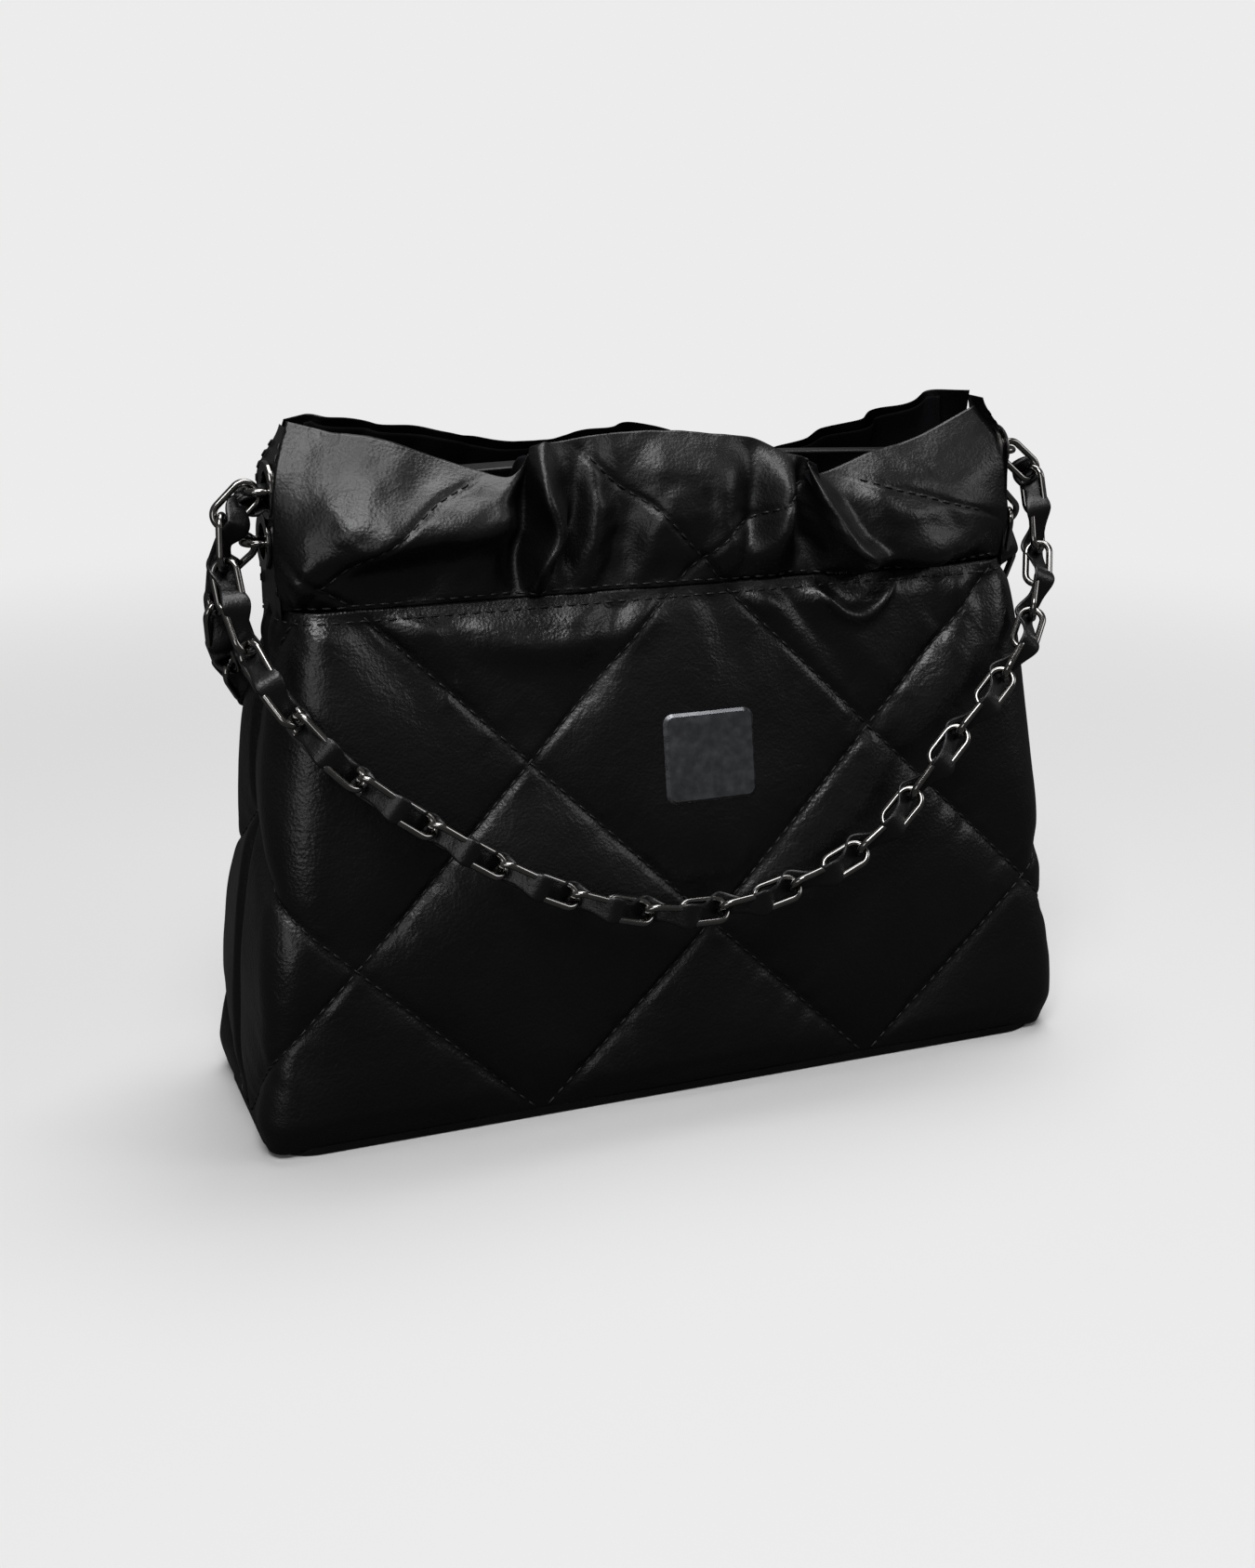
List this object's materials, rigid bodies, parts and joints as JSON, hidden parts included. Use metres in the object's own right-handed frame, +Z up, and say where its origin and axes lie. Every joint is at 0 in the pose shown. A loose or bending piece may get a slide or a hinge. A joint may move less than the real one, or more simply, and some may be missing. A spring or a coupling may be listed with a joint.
{
  "type": "bucket bag",
  "caption": "Small quilted leather bucket bag with a boxed base, a gathered ruffled mouth and two swinging chain handles woven with a leather strip.",
  "frame": {"origin": "on the floor, under the middle of the boxed base", "axes": "+X along the front from left to right, +Y from front to back, +Z up"},
  "size_m": [0.2564, 0.096, 0.199],
  "materials": {
    "quilted_leather": "fine pebble grain, quilted, semi-gloss",
    "black_leather": "fine pebble grain, semi-gloss",
    "strip_leather": "smooth, semi-gloss",
    "lining_fabric": "plain woven lining",
    "gather_tape": "woven tape",
    "stiffening_board": "raw board",
    "gunmetal": "polished gunmetal plating"
  },
  "bodies": {
    "root": {"base_panel": "black_leather", "base_board": "stiffening_board", "base_lining": "lining_fabric", "front_panel": "quilted_leather", "back_panel": "quilted_leather", "front_lining": "lining_fabric", "back_lining": "lining_fabric", "front_gather_tape": "gather_tape", "back_gather_tape": "gather_tape", "front_ruffle": "black_leather", "back_ruffle": "black_leather", "front_facing": "black_leather", "back_facing": "black_leather", "left_gusset": "black_leather", "right_gusset": "black_leather", "left_eyelets": "gunmetal", "right_eyelets": "gunmetal", "left_eyelet_washers": "gunmetal", "right_eyelet_washers": "gunmetal", "badge": "gunmetal", "badge_backing": "gunmetal", "snap_stud_half": "gunmetal", "snap_socket_half": "gunmetal", "snap_washers": "gunmetal"},
    "front_handle": {"front_chain_links": "gunmetal", "front_chain_strip": "strip_leather", "front_stop_rings": "gunmetal"},
    "back_handle": {"back_chain_links": "gunmetal", "back_chain_strip": "strip_leather", "back_stop_rings": "gunmetal"}
  },
  "joints": [
    {"name": "front_handle_swing", "type": "hinge", "parent": "root", "child": "front_handle", "pos_m": [0, -0.0035, 0.181], "axis": [-1, 0, 0], "range_deg": [0, 150]},
    {"name": "back_handle_swing", "type": "hinge", "parent": "root", "child": "back_handle", "pos_m": [0, 0.0035, 0.166], "axis": [1, 0, 0], "range_deg": [0, 150]}
  ]
}
